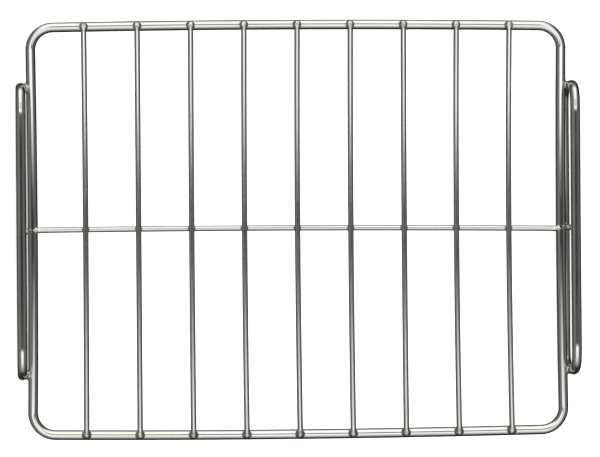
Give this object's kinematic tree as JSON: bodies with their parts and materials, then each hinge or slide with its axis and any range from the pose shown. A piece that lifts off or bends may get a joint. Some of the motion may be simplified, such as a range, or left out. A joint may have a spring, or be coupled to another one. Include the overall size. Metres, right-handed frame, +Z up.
{
  "type": "wire rack",
  "caption": "Flat welded wire rack: rounded rod frame with thin slats across it, a cross wire below, and an upright rod ring each side as handle and foot.",
  "frame": {"origin": "under the middle of the rack, on the surface that the two foot runs stand on", "axes": "+X along the long bars, +Y to the back, where the slats end in round beads, +Z up"},
  "size_m": [0.4502, 0.336, 0.068],
  "materials": {
    "heavy_rod": "bright polished steel rod",
    "thin_wire": "bright polished steel wire",
    "weld_metal": "electropolished weld bead"
  },
  "bodies": {
    "root": {"frame_loop": "heavy_rod", "slat_1": "thin_wire", "slat_2": "thin_wire", "slat_3": "thin_wire", "slat_4": "thin_wire", "slat_5": "thin_wire", "slat_6": "thin_wire", "slat_7": "thin_wire", "slat_8": "thin_wire", "slat_9": "thin_wire", "cross_wire": "thin_wire", "side_ring_left": "heavy_rod", "side_ring_right": "heavy_rod", "middle_post_left": "thin_wire", "middle_post_right": "thin_wire", "slat_back_beads": "weld_metal", "slat_front_pads": "weld_metal", "crossing_beads": "weld_metal", "cross_wire_end_beads": "weld_metal", "ring_beads": "weld_metal", "post_beads": "weld_metal"}
  },
  "joints": []
}
